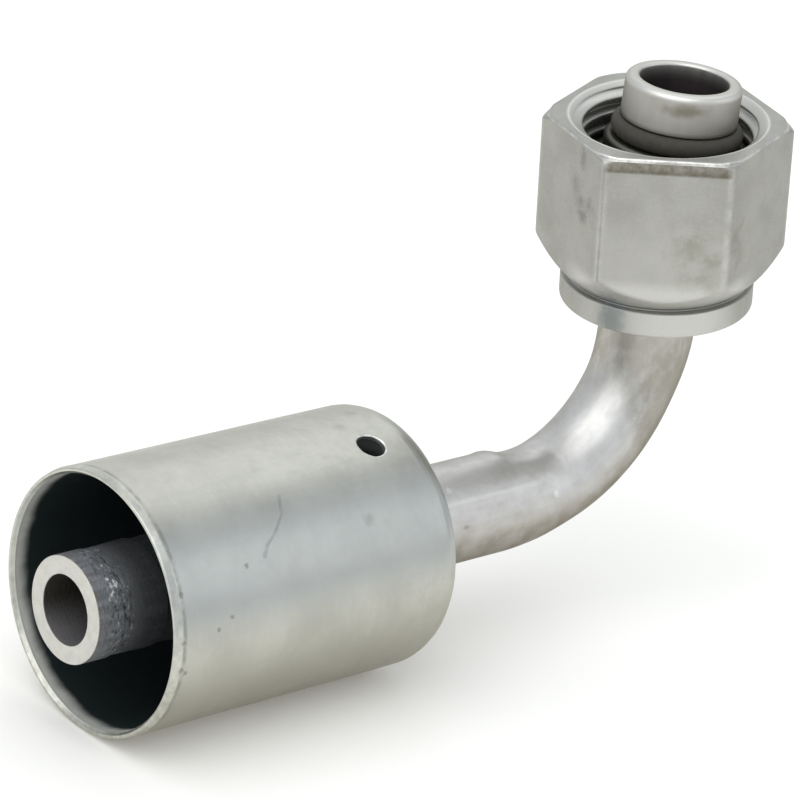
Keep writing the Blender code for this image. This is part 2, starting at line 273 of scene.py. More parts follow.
def ring_quads(rows, columns):
    """Faces of a grid that closes on itself both ways."""
    index = np.arange(rows * columns).reshape(rows, columns)
    across = np.roll(index, -1, axis=1)
    down = np.roll(index, -1, axis=0)
    both = np.roll(down, -1, axis=1)
    return np.stack((index, across, both, down), axis=-1).reshape(-1, 4)


def around(radius, height, angles):
    """Points about the Z axis, from numbers or arrays."""
    return np.stack((radius * np.cos(angles), radius * np.sin(angles), height + 0.0 * angles), axis=-1)


def turned(profile, columns, start=0.0):
    """Local points and faces of a profile of (radius, height) turned about Z, row by row."""
    grid = around(profile[:, 0:1], profile[:, 1:2], start + turn(columns))
    return grid.reshape(-1, 3), ring_quads(len(profile), columns)


def add_attribute(mesh, name, values):
    """Store a number or a vector on every vertex."""
    kind, key = ("FLOAT_VECTOR", "vector") if values.ndim == 2 else ("FLOAT", "value")
    attribute = mesh.attributes.new(name, kind, "POINT")
    attribute.data.foreach_set(key, values.astype(np.float32).ravel())


def add_object(name, data):
    """Put an object in the scene."""
    obj = bpy.data.objects.new(name, data)
    bpy.context.scene.collection.objects.link(obj)
    return obj


def build(name, points, faces, local, body, node, slot, material, **marks):
    """Make a piece, with its shares of the finishes, and hang it on its body."""
    mesh = bpy.data.meshes.new(name)
    mesh.from_pydata(points.tolist(), [], faces.tolist())
    shell = bmesh.new()
    shell.from_mesh(mesh)
    bmesh.ops.recalc_face_normals(shell, faces=shell.faces)
    shell.to_mesh(mesh)
    shell.free()
    mesh.shade_smooth()
    for key, values in {"local": local / MM, **marks}.items():
        add_attribute(mesh, key, values)
    mesh.materials.append(material)
    obj = add_object(name, mesh)
    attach(obj, body)
    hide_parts(node)


def smooth(low, high, value):
    """0 below low, 1 above high, and smooth between."""
    share = np.clip((value - low) / (high - low), 0.0, 1.0)
    return share * share * (3.0 - 2.0 * share)


def waviness(points, size, height, seed):
    """Smooth, seeded unevenness at each point, a share of height either way."""
    offset = Vector((seed, 2.0 * seed, -seed))
    return np.array([noise.noise(Vector(point) / size + offset) * height for point in points])


# ---- materials

class Nodes:
    """A material's node tree, with short calls for the nodes that the finishes need."""

    def __init__(self, name):
        self.material = bpy.data.materials.new(name)
        self.material.use_nodes = True
        self.tree = self.material.node_tree
        self.shader = self.tree.nodes["Principled BSDF"]
        self.local = self.mark("local", "Vector")

    def put(self, socket, value):
        """Link a socket, or set it where the value is a number or a colour."""
        if isinstance(value, bpy.types.NodeSocket):
            self.tree.links.new(value, socket)
        elif isinstance(value, tuple) and len(value) == 3 and socket.type == "RGBA":
            socket.default_value = (*value, 1.0)
        else:
            socket.default_value = value

    def node(self, kind, *values, **settings):
        """Make a node, set its properties, and feed its first sockets."""
        node = self.tree.nodes.new("ShaderNode" + kind)
        for name, setting in settings.items():
            setattr(node, name, setting)
        for socket, value in zip(node.inputs, values):
            self.put(socket, value)
        return node

    def mark(self, name, output="Fac"):
        """What the mesh stores under a name."""
        return self.node("Attribute", attribute_name=name).outputs[output]

    def axis(self, name):
        """One of the piece's own coordinates, in millimetres."""
        return self.node("SeparateXYZ", self.local).outputs[name]

    def vector(self, operation, first, second, output="Vector"):
        """Arithmetic on two vectors."""
        return self.node("VectorMath", first, second, operation=operation).outputs[output]

    def stretched(self, x, y, z):
        """The piece's own coordinates, in millimetres, scaled along each axis."""
        return self.vector("MULTIPLY", self.local, (x, y, z))

    def math(self, operation, first, second=0.5):
        """Arithmetic on two values."""
        return self.node("Math", first, second, operation=operation).outputs[0]

    def times(self, first, second):
        """The product of two values."""
        return self.math("MULTIPLY", first, second)

    def ramp(self, value, low, high, start=0.0, end=1.0):
        """Smoothly map one range to another, and clamp."""
        node = self.node("MapRange", value, low, high, start, end, interpolation_type="SMOOTHSTEP")
        return node.outputs["Result"]

    def noise(self, scale, detail=3.0, roughness=0.5, vector=None):
        """Noise from 0 to 1."""
        node = self.node("TexNoise", vector or self.local)
        node.inputs["Scale"].default_value = scale
        node.inputs["Detail"].default_value = detail
        node.inputs["Roughness"].default_value = roughness
        return node.outputs["Fac"]

    def mix(self, share, first, second):
        """Blend two colours."""
        node = self.node("Mix", share, data_type="RGBA")
        self.put(node.inputs[6], first)
        self.put(node.inputs[7], second)
        return node.outputs[2]

    def tint(self, share, color, strength=1.0):
        """Blend a colour over the surface's colour so far."""
        if strength < 1.0:
            share = self.times(share, strength)
        self.color = self.mix(share, self.color, color)

    def bump(self, height, distance, strength, normal=None):
        """Surface relief from a height, its distance in metres."""
        node = self.node("Bump")
        node.inputs["Strength"].default_value = strength
        node.inputs["Distance"].default_value = distance
        self.put(node.inputs["Height"], height)
        if normal is not None:
            self.put(node.inputs["Normal"], normal)
        return node.outputs["Normal"]

    def spot(self, center, radius, softness=0.4, squeeze=(1.0, 1.0, 1.0)):
        """1 inside a mark and 0 outside, with a wandering edge. It is narrower along a squeezed axis."""
        away = self.vector("SUBTRACT", self.local, center)
        away = self.vector("MULTIPLY", away, squeeze)
        distance = self.vector("LENGTH", away, (0.0, 0.0, 0.0), "Value")
        wander = self.noise(1.1 / radius, 3.0, 0.6)
        wander = self.times(self.math("SUBTRACT", wander, 0.5), 2.0 * radius)
        distance = self.math("ADD", distance, wander)
        return self.ramp(distance, radius * (1.0 - softness), radius * (1.0 + softness), 1.0, 0.0)

    def spots(self, centers, radius, softness=0.4, squeeze=(1.0, 1.0, 1.0)):
        """Several marks of one size."""
        total = self.spot(centers[0], radius, softness, squeeze)
        for center in centers[1:]:
            total = self.math("MAXIMUM", total, self.spot(center, radius, softness, squeeze))
        return total

    def scratch(self, start, end, width):
        """1 along a straight scratch and 0 beside it."""
        run = Vector(end) - Vector(start)
        away = self.vector("SUBTRACT", self.local, start)
        share = self.vector("DOT_PRODUCT", away, tuple(run / run.length_squared), "Value")
        share = self.math("MINIMUM", self.math("MAXIMUM", share, 0.0), 1.0)
        node = self.node("VectorMath", tuple(run), operation="SCALE")
        self.put(node.inputs["Scale"], share)
        distance = self.vector("DISTANCE", away, node.outputs[0], "Value")
        return self.ramp(distance, 0.3 * width, width, 1.0, 0.0)

    def finish(self, roughness, metallic, normal, edge=(0.75, 0.75, 0.72)):
        """Feed the shader. The edge is the tint of a metal's reflections at a grazing angle."""
        self.shader.inputs["Specular Tint"].default_value = (*edge, 1.0)
        self.put(self.shader.inputs["Base Color"], self.color)
        self.put(self.shader.inputs["Roughness"], roughness)
        self.put(self.shader.inputs["Metallic"], metallic)
        self.put(self.shader.inputs["Normal"], normal)
        return self.material


def shell_points(places):
    """Places on the ferrule's outside: degrees from the top towards the front, and mm from the mouth."""
    radius = FERRULE_RADIUS / MM
    turns = [(math.radians(degrees), along) for degrees, along in places]
    return [(-radius * math.cos(angle), -radius * math.sin(angle), along) for angle, along in turns]


def ferrule_finish():
    """Satin zinc plate with clouds, scuffs and specks; painted light just inside the mouth and painted
    shade further in.
    """
    n = Nodes("drawn_zinc_plate")
    along = n.axis("Z")
    lines = n.noise(2.2, 4.0, 0.6, n.stretched(1.0, 1.0, 0.08))
    hoops = n.noise(1.3, 3.0, 0.6, n.stretched(0.25, 0.25, 1.0))
    cloud = n.noise(0.14, 4.0, 0.6)
    patch = n.noise(0.55, 4.0, 0.65)
    grain = n.noise(7.0, 3.0, 0.7)
    n.color = n.mix(n.ramp(cloud, 0.32, 0.66), (0.425, 0.42, 0.375), (0.51, 0.505, 0.455))
    n.tint(n.ramp(patch, 0.45, 0.75, 0.0, 0.45), (0.42, 0.41, 0.37))
    n.tint(n.ramp(lines, 0.45, 0.75, 0.0, 0.22), (0.38, 0.40, 0.41))
    n.tint(n.ramp(hoops, 0.5, 0.75, 0.0, 0.2), (0.56, 0.56, 0.52))
    n.tint(n.ramp(grain, 0.55, 0.8, 0.0, 0.35), (0.33, 0.32, 0.28))
    # Painted reflection: a cool blue-grey band along the upper flanks of the shell.
    painted_cool_band = n.times(n.ramp(n.axis("X"), -11.8, -9.0), n.ramp(n.axis("X"), -4.0, 0.0, 0.5, 0.0))
    n.tint(painted_cool_band, (0.45, 0.475, 0.485))
    # Painted shade: the lower half of the shell is darker and warmer.
    n.tint(n.ramp(n.axis("X"), -1.0, 6.0, 0.0, 0.65), (0.365, 0.35, 0.298))
    # A lighter, mottled band on the eased lip: a painted highlight, with some wear.
    lip = n.ramp(along, LIP_LENGTH / MM, 1.35 * LIP_LENGTH / MM, 1.0, 0.0)
    lip = n.times(lip, n.ramp(n.noise(1.2, 4.0, 0.65), 0.35, 0.65, 0.15, 0.75))
    n.tint(lip, (0.61, 0.61, 0.55))
    # A dark, broken line round the shell just behind the lip.
    line_behind_lip = n.math("ABSOLUTE", n.math("SUBTRACT", along, 1.45 * LIP_LENGTH / MM))
    line_behind_lip = n.ramp(line_behind_lip, 0.08, 0.35, 1.0, 0.0)
    line_behind_lip = n.times(line_behind_lip, n.ramp(n.noise(1.1, 3.0), 0.35, 0.6, 0.2, 0.7))
    n.tint(line_behind_lip, (0.25, 0.25, 0.22))
    specks = n.math("MAXIMUM", n.spots(shell_points(PITS), 0.2), n.spots(shell_points(CHIPS), 0.24))
    n.tint(specks, (0.15, 0.14, 0.11), 0.5)
    n.tint(n.spots(shell_points(STAINS), 0.55, 0.7), (0.27, 0.27, 0.25), 0.4)
    score = 0.0
    path = shell_points(SCRATCH)
    for first, second in zip(path, path[1:]):
        score = n.math("MAXIMUM", n.scratch(first, second, 0.27), score)
    score = n.times(score, n.ramp(n.noise(0.8, 3.0), 0.35, 0.6, 0.45, 1.0))
    n.tint(score, (0.22, 0.21, 0.18), 0.36)
    # Painted highlight round the chamfered rim of the sight hole.
    burr = n.times(n.mark("burr"), n.ramp(n.noise(1.2), 0.4, 0.6, 0.2, 1.0))
    n.tint(burr, (0.85, 0.86, 0.84))
    # Painted light and shade inside the shell: bright just within the mouth, near black further in, and
    # lighter again towards the rear.
    inside = n.mark("inside")
    wander = n.times(n.math("SUBTRACT", n.noise(0.35, 3.0, 0.5), 0.5), 1.2)
    depth = n.math("ADD", along, wander)
    dark = n.times(inside, n.ramp(depth, 0.5, 2.2))
    n.tint(inside, (0.85, 0.85, 0.78))
    deep = n.mix(n.ramp(along, 30.0, 34.0), (0.02, 0.029, 0.031), (0.32, 0.34, 0.34))
    n.tint(dark, deep)
    rough = n.ramp(patch, 0.3, 0.7, 0.3, 0.38)
    rough = n.math("ADD", rough, n.times(inside, 0.2))
    metallic = n.math("SUBTRACT", 1.0, n.times(inside, 0.65))
    normal = n.bump(lines, 0.006 * MM, 0.4)
    normal = n.bump(grain, 0.006 * MM, 0.5, normal)
    normal = n.bump(n.times(n.math("MAXIMUM", score, specks), -1.0), 0.05 * MM, 0.6, normal)
    return n.finish(rough, metallic, normal, (0.85, 0.84, 0.8))


def tube_finish():
    """Drawn aluminium: soft satin with lengthwise lines, rub marks and a stained pilot, with painted shade
    below, on the bead and down the bore.
    """
    n = Nodes("drawn_aluminium")
    lines = n.noise(1.6, 5.0, 0.6, n.stretched(1.0, 1.0, 0.06))
    cloud = n.noise(0.3, 4.0, 0.6)
    smudge = n.noise(0.8, 4.0, 0.65, n.stretched(1.0, 1.0, 0.5))
    grain = n.noise(8.0, 3.0, 0.7)
    n.color = n.mix(n.ramp(cloud, 0.3, 0.7), (0.57, 0.555, 0.535), (0.66, 0.65, 0.635))
    n.tint(n.ramp(lines, 0.45, 0.75, 0.0, 0.25), (0.50, 0.48, 0.465))
    n.tint(n.ramp(smudge, 0.5, 0.75, 0.0, 0.4), (0.46, 0.435, 0.40))
    n.tint(n.ramp(grain, 0.55, 0.8, 0.0, 0.25), (0.44, 0.43, 0.41))
    # Painted shade: the underside of the straight and the bend is darker and warmer, mottled.
    underside_shade = n.times(n.mark("underside_shade"), n.ramp(n.noise(0.5, 4.0), 0.3, 0.7, 0.6, 1.0))
    n.tint(underside_shade, (0.34, 0.312, 0.268))
    neck = n.times(n.ramp(n.axis("Z"), 33.0, 42.0), n.ramp(smudge, 0.3, 0.6, 0.5, 0.85))
    n.tint(neck, (0.395, 0.375, 0.33))
    # A small dark spot at the bending die's mark.
    dark_spot = n.spot((-3.9, -2.5, 17.6), 0.35, 0.8, (1.0, 1.0, 0.3))
    burnish = n.spots(((-4.2, -2.0, 22.0), (-4.1, -2.2, 19.6)), 1.5, 0.8, (1.0, 1.0, 0.6))
    n.tint(burnish, (0.86, 0.85, 0.84), 0.6)
    n.tint(dark_spot, (0.24, 0.235, 0.23), 0.5)
    dirt = n.spots(((-1.0, -5.1, 8.8), (2.0, 4.2, 30.0)), 0.35, 0.7, (1.6, 1.6, 1.0))
    n.tint(dirt, (0.22, 0.20, 0.17), 0.5)
    places = ((-1.7, -4.5, 39.0), (-0.9, -4.8, 41.5), (-0.6, -4.7, 36.0))
    tarnish = n.spots(places, 1.8, 0.9, (1.0, 1.0, 0.7))
    tarnish = n.times(tarnish, n.ramp(smudge, 0.3, 0.6, 0.35, 0.8))
    n.tint(tarnish, (0.33, 0.31, 0.27))
    rubs = n.spots(((-4.35, -2.85, 7.8), (-1.7, -4.4, 21.6), (-4.0, 3.0, 26.0)), 0.34, 0.6)
    n.tint(rubs, (0.88, 0.88, 0.87), 0.7)
    seam = n.math("ABSOLUTE", n.math("ADD", n.axis("X"), 3.35))
    seam = n.ramp(seam, 0.04, 0.3, 1.0, 0.0)
    seam = n.times(seam, n.ramp(n.axis("Z"), 19.0, 24.0, 0.28, 0.0))
    n.tint(seam, (0.82, 0.81, 0.79))
    pilot = n.mark("pilot")
    n.tint(pilot, (0.42, 0.405, 0.375), 0.8)
    n.tint(n.mark("polish"), (0.65, 0.64, 0.60))
    brown = n.times(pilot, n.spot((-3.7, -4.6, 70.55), 1.9, 0.8, (1.0, 1.0, 3.2)))
    n.tint(brown, (0.19, 0.17, 0.13), 0.75)
    # Painted shade on the neck, the bead and the groove inside the nut.
    n.tint(n.mark("shade"), (0.15, 0.145, 0.125))
    # Painted shade down the bore.
    inside = n.mark("inside")
    n.tint(inside, (0.095, 0.078, 0.08))
    rough = n.ramp(lines, 0.3, 0.7, 0.4, 0.47)
    rough = n.math("ADD", rough, n.times(inside, 0.15))
    normal = n.bump(grain, 0.006 * MM, 0.4, n.bump(lines, 0.006 * MM, 0.4))
    return n.finish(rough, 1.0, normal, (0.45, 0.43, 0.39))


def stem_finish():
    """Dull dark barbs, pitted behind the nose, with painted glints and shade, and a bright cut end."""
    n = Nodes("stem_metal")
    along = n.axis("Z")
    pits = n.noise(1.5, 5.0, 0.7, n.stretched(1.0, 1.0, 1.7))
    streak = n.noise(1.6, 4.0, 0.6, n.stretched(1.0, 1.0, 0.14))
    hoops = n.noise(1.6, 3.0, 0.6, n.stretched(0.2, 0.2, 1.0))
    # Painted shade: lighter near the nose, darker further into the ferrule.
    near = n.ramp(along, 1.8, 6.5, 1.0, 0.0)
    n.color = n.mix(near, (0.075, 0.08, 0.083), (0.26, 0.268, 0.285))
    n.tint(n.ramp(streak, 0.4, 0.7, 0.0, 0.6), (0.12, 0.125, 0.13))
    n.tint(n.ramp(hoops, 0.5, 0.75, 0.0, 0.5), (0.09, 0.095, 0.10))
    band = n.times(n.ramp(along, 0.9, 2.0), n.ramp(along, 3.4, 4.8, 1.0, 0.0))
    # Painted glints: bright specks among the pits behind the nose, most on the upper side.
    glint_spot = n.times(n.spot((-3.6, -3.9, 2.6), 1.2, 0.8), 0.08)
    glint = n.times(band, n.ramp(n.math("ADD", pits, glint_spot), 0.58, 0.68))
    n.tint(glint, (0.78, 0.79, 0.80))
    # Painted shade: the pits in the same band are near black.
    hole = n.times(band, n.ramp(pits, 0.36, 0.46, 1.0, 0.0))
    n.tint(hole, (0.018, 0.018, 0.018), 0.85)
    rust = n.times(n.ramp(along, 0.1, 0.5, 1.0, 0.0), n.ramp(streak, 0.4, 0.6))
    n.tint(rust, (0.22, 0.15, 0.09), 0.6)
    face = n.mark("face")
    cut = n.mix(n.ramp(n.noise(0.8, 4.0, 0.65), 0.3, 0.7), (0.55, 0.535, 0.49), (0.63, 0.615, 0.57))
    n.tint(face, cut)
    inside = n.mark("inside")
    # Painted shade and light in the bore: dark in its upper half, lighter towards the bottom.
    bore = n.mix(n.ramp(n.axis("X"), 0.2, 3.5), (0.05, 0.047, 0.038), (0.20, 0.188, 0.192))
    n.tint(inside, bore)
    rough = n.ramp(pits, 0.3, 0.7, 0.36, 0.5)
    rough = n.math("ADD", rough, n.times(n.math("MAXIMUM", face, inside), 0.12))
    relief = n.bump(pits, 0.16 * MM, 0.6)
    return n.finish(rough, 0.45, relief)


def nut_finish():
    """Matte plated steel with clouds, stains and a brown bevel; bright edges of wear and painted
    highlight; painted light on the front and in the mouth, painted shade in the crevice and down the
    thread.
    """
    n = Nodes("matte_zinc_plate")
    cloud = n.noise(0.22, 4.0, 0.6)
    blotch = n.noise(0.7, 5.0, 0.68)
    grain = n.noise(5.0, 4.0, 0.75)
    lines = n.noise(1.6, 4.0, 0.6, n.stretched(1.0, 1.0, 0.15))
    n.color = n.mix(n.ramp(cloud, 0.3, 0.7), (0.36, 0.354, 0.327), (0.42, 0.413, 0.386))
    n.tint(n.ramp(blotch, 0.5, 0.75, 0.0, 0.4), (0.37, 0.355, 0.31))
    n.tint(n.ramp(grain, 0.52, 0.8, 0.0, 0.45), (0.29, 0.28, 0.235))
    n.tint(n.ramp(grain, 0.2, 0.42, 0.35, 0.0), (0.60, 0.60, 0.57))
    n.tint(n.ramp(lines, 0.5, 0.8, 0.0, 0.25), (0.35, 0.35, 0.33))
    front = face_angle(FRONT_FACE)
    toward = n.vector("DOT_PRODUCT", n.local, (math.cos(front), math.sin(front), 0.0), "Value")
    # Painted light: the front flat is lighter towards its foot.
    painted_front_light = n.times(n.ramp(toward, 10.2, 10.9), n.ramp(n.axis("Z"), 9.0, 2.5, 0.0, 0.4))
    n.tint(painted_front_light, (0.54, 0.535, 0.50))
    # Painted light: the lower chamfer is lighter on the front side.
    chamfer = n.times(n.ramp(toward, 5.0, 9.0), n.ramp(n.axis("Z"), 1.2, -0.6, 0.0, 0.85))
    n.tint(chamfer, (0.60, 0.595, 0.56))
    places = ((-11.1, 1.2, 8.9), (-11.4, 0.3, 7.5), (-11.5, -0.3, 6.2), (-11.8, -1.7, 7.8))
    left = n.spots(places, 0.75, 0.8)
    left = n.times(left, n.ramp(n.noise(0.6, 3.0, 0.5), 0.32, 0.62, 0.25, 1.0))
    streak = n.spot((-11.4, 0.2, 12.4), 0.45, 0.9, (1.0, 1.0, 0.4))
    n.tint(n.math("MAXIMUM", left, streak), (0.19, 0.18, 0.16), 0.6)
    places = ((-5.3, -10.4, 5.4), (-4.5, -11.1, 2.8), (-1.6, -12.0, 4.8), (8.5, 8.6, 6.0))
    mottle = n.spots(places, 2.2, 0.9)
    mottle = n.times(mottle, n.ramp(n.noise(0.55, 4.0, 0.55), 0.38, 0.7, 0.0, 0.5))
    n.tint(mottle, (0.22, 0.21, 0.15))
    # Painted shade in the crevice above the collar, strongest on the front side.
    crevice = n.times(n.mark("crevice"), n.ramp(toward, 4.5, 7.5, 0.1, 0.7))
    n.tint(crevice, (0.17, 0.166, 0.145))
    heat = n.spot((-9.3, -3.2, -4.7), 1.2, 0.7, (1.0, 1.0, 0.3))
    n.tint(heat, (0.26, 0.29, 0.30), 0.6)
    bevel = n.mark("bevel")
    # The bevel is brown and mottled, and darker towards its foot.
    brown_bevel = n.times(bevel, n.ramp(n.noise(1.3, 4.0, 0.65), 0.35, 0.65, 0.5, 1.0))
    n.tint(brown_bevel, (0.21, 0.19, 0.15))
    bevel_foot_dark = n.times(bevel, n.ramp(n.axis("Z"), 13.2, 12.6, 0.0, 0.45))
    n.tint(bevel_foot_dark, (0.10, 0.085, 0.06))
    # Bright edges: wear, and a painted highlight that is strongest along the top rim of the front flat.
    wear_and_highlight = n.times(n.mark("edge"), n.ramp(n.noise(0.6, 4.0, 0.65), 0.35, 0.65, 0.3, 1.0))
    n.tint(wear_and_highlight, (0.88, 0.87, 0.83))
    # Painted light on the countersink and the top of the thread, and painted shade further down.
    inside = n.mark("inside")
    n.tint(n.mark("mouth"), (0.66, 0.655, 0.61))
    n.tint(inside, (0.26, 0.255, 0.235))
    rough = n.ramp(grain, 0.3, 0.75, 0.4, 0.54)
    normal = n.bump(grain, 0.02 * MM, 0.5, n.bump(blotch, 0.03 * MM, 0.4))
    return n.finish(rough, 1.0, normal)


def ring_finish():
    """Dark moulded rubber with a dusty bloom."""
    n = Nodes("dark_rubber")
    dust = n.noise(1.5, 4.0, 0.6)
    n.color = n.mix(n.ramp(dust, 0.3, 0.8), (0.05, 0.046, 0.038), (0.068, 0.062, 0.052))
    rough = n.ramp(dust, 0.3, 0.7, 0.62, 0.8)
    n.shader.inputs["Specular IOR Level"].default_value = 0.3
    return n.finish(rough, 0.0, n.bump(n.noise(8.0), 0.02 * MM, 0.4))


def braze_finish():
    """Rippled filler metal with a dull flux stain."""
    n = Nodes("braze_filler")
    ripple = n.noise(0.9, 4.0, 0.6)
    n.color = n.mix(n.ramp(ripple, 0.35, 0.7), (0.34, 0.32, 0.28), (0.55, 0.53, 0.49))
    rough = n.ramp(ripple, 0.3, 0.7, 0.32, 0.55)
    return n.finish(rough, 1.0, n.bump(ripple, 0.08 * MM, 0.5))


# ---- pieces on the hose axis

def on_hose_axis(local, start):
    """Points made along Z, laid along the hose axis from a place on it."""
    return placed(local, (start, 0.0, HOSE_AXIS_Z), (0.0, 0.0, -1.0), (0.0, 1.0, 0.0), (1.0, 0.0, 0.0))


def even_stretch(profile, radius, reach):
    """Space a wall's points evenly where the sight hole goes, and say which row is then its first."""
    on_wall = np.abs(profile[:, 0] - radius) < 1e-7
    near = np.abs(profile[:, 1] - SIGHT_POSITION) < 1.2 * reach
    rows = np.flatnonzero(on_wall & near)
    first, last = rows[0], rows[-1]
    way = np.sign(profile[last, 1] - profile[first, 1])
    heights = SIGHT_POSITION + way * np.linspace(-reach, reach, PATCH_CELLS + 1)
    patch = np.column_stack((np.full(PATCH_CELLS + 1, radius), heights))
    return np.vstack((profile[:first], patch, profile[last + 1:])), first


def patch_border(far_row, near_row):
    """Points round the sight hole's square in one wall, from the row further from the mouth."""
    half = PATCH_CELLS // 2
    rows = list(range(far_row, near_row, 1 if near_row > far_row else -1))
    border = [(far_row, column) for column in range(-half, half)]
    border += [(row, half) for row in rows]
    border += [(near_row, -column) for column in range(-half, half)]
    border += [(far_row + near_row - row, -half) for row in rows]
    return np.array([row * FERRULE_COLUMNS + column % FERRULE_COLUMNS for row, column in border])


def open_sight_hole(local, faces, outer_row, inner_row, inner_radius):
    """Take a square out of both walls, and join them with rings that turn from square to round."""
    middle = np.arange(-PATCH_CELLS // 2, PATCH_CELLS // 2) % FERRULE_COLUMNS
    number = np.arange(len(faces)).reshape(-1, FERRULE_COLUMNS)
    gone = [number[row:row + PATCH_CELLS][:, middle].ravel() for row in (outer_row, inner_row)]
    faces = np.delete(faces, np.concatenate(gone), axis=0)

    angle = math.pi + SIGHT_ANGLE
    out = np.array((math.cos(angle), math.sin(angle)))
    aside = np.array((-out[1], out[0]))
    outer = patch_border(outer_row, outer_row + PATCH_CELLS)
    inner = patch_border(inner_row + PATCH_CELLS, inner_row)

    def flat(border):
        """A border's places in the wall, sideways and along from the hole's centre."""
        return np.stack((local[border, :2] @ aside, local[border, 2] - SIGHT_POSITION), axis=-1)

    squares = {FERRULE_RADIUS: flat(outer), inner_radius: flat(inner)}
    bearing = np.arctan2(squares[FERRULE_RADIUS][:, 1], squares[FERRULE_RADIUS][:, 0])
    circle = np.stack((np.cos(bearing), np.sin(bearing)), axis=-1)
    chamfer = SIGHT_CHAMFER
    wide = SIGHT_RADIUS + chamfer
    rings = [(FERRULE_RADIUS, share, wide, 0.0) for share in (0.4, 0.75, 0.95, 1.0)]
    rings += [
        (FERRULE_RADIUS, 1.0, SIGHT_RADIUS + 0.3 * chamfer, -0.3 * chamfer),
        (FERRULE_RADIUS, 1.0, SIGHT_RADIUS, -chamfer),
        (FERRULE_RADIUS, 1.0, SIGHT_RADIUS, -1.6 * chamfer),
        (inner_radius, 1.0, SIGHT_RADIUS, chamfer),
    ]
    rings += [(inner_radius, share, wide, 0.0) for share in (1.0, 0.75, 0.4)]
    loops = [outer]
    added = []
    count = len(local)
    for wall, share, size, rise in rings:
        spread = squares[wall] * (1.0 - share) + circle * size * share
        height = np.sqrt(wall ** 2 - spread[:, 0] ** 2) + rise
        across = np.outer(height, out) + np.outer(spread[:, 0], aside)
        added.append(np.column_stack((across, SIGHT_POSITION + spread[:, 1])))
        loops.append(count + np.arange(len(outer)))
        count += len(outer)
    loops.append(inner)
    for before, after in zip(loops, loops[1:]):
        quads = np.stack((before, np.roll(before, -1), np.roll(after, -1), after), axis=-1)
        faces = np.vstack((faces, quads))
    local = np.vstack((local, *added))
    used, faces = np.unique(faces, return_inverse=True)
    return local[used], faces.reshape(-1, 4)


def make_ferrule():
    """Deep-drawn shell with an eased mouth, a rounded rear corner and a chamfered sight hole."""
    inner = FERRULE_RADIUS - FERRULE_WALL
    rear_inner = FERRULE_LENGTH - FERRULE_REAR_WALL
    corners = [
        (FERRULE_RADIUS, FERRULE_LENGTH, FERRULE_CORNER),
        (FERRULE_RADIUS, LIP_LENGTH, 0.3 * MM),
        (FERRULE_RADIUS - LIP_DROP, 0.0, 0.15 * MM),
        (inner + INNER_EASE, 0.0, 0.12 * MM),
        (inner, 1.6 * INNER_EASE, 0.2 * MM),
        (inner, rear_inner, FERRULE_CORNER - FERRULE_REAR_WALL),
        (FERRULE_HOLE_RADIUS, rear_inner, 0.15 * MM),
        (FERRULE_HOLE_RADIUS, FERRULE_LENGTH, 0.25 * MM),
    ]
    profile = dense(rounded(corners, 8), 0.7 * MM)
    reach = FERRULE_RADIUS * math.sin(math.pi * PATCH_CELLS / FERRULE_COLUMNS)
    profile, outer_row = even_stretch(profile, FERRULE_RADIUS, reach)
    profile, inner_row = even_stretch(profile, inner, reach)
    local, faces = turned(profile, FERRULE_COLUMNS, math.pi + SIGHT_ANGLE)
    local, faces = open_sight_hole(local, faces, outer_row, inner_row, inner)
    radius = axis_distance(local)
    hollow = (radius < inner + 0.25 * MM) & (local[:, 2] < rear_inner + 0.1 * MM)
    inside = smooth(0.2 * MM, 0.7 * MM, local[:, 2]) * hollow
    outside = smooth(inner + 0.4 * MM, inner + 0.6 * MM, radius)
    outside *= smooth(0.5 * LIP_LENGTH, 2.0 * LIP_LENGTH, local[:, 2])
    waves = waviness(local * (1.0, 1.0, 0.45), 7.0 * MM, FERRULE_WAVINESS, 2.0) - FERRULE_WAVINESS
    shaped = local.copy()
    shaped[:, :2] *= (1.0 + outside * waves / radius)[:, None]
    points = on_hose_axis(shaped, MOUTH_X)
    aside = local[:, 0] * math.sin(SIGHT_ANGLE) - local[:, 1] * math.cos(SIGHT_ANGLE)
    from_hole = np.hypot(aside, local[:, 2] - SIGHT_POSITION)
    # The rim of the sight hole, which gets a painted highlight.
    on_rim = (from_hole < SIGHT_RADIUS + 1.1 * SIGHT_CHAMFER) & (local[:, 0] < 0.0)
    burr = (on_rim & (radius > FERRULE_RADIUS - 1.5 * SIGHT_CHAMFER)).astype(float)
    build(
        "ferrule_shell", points, faces, local, "ferrule", "crimp_ferrule", "drawn_zinc_plate",
        ferrule_finish(), inside=inside, burr=burr,
    )


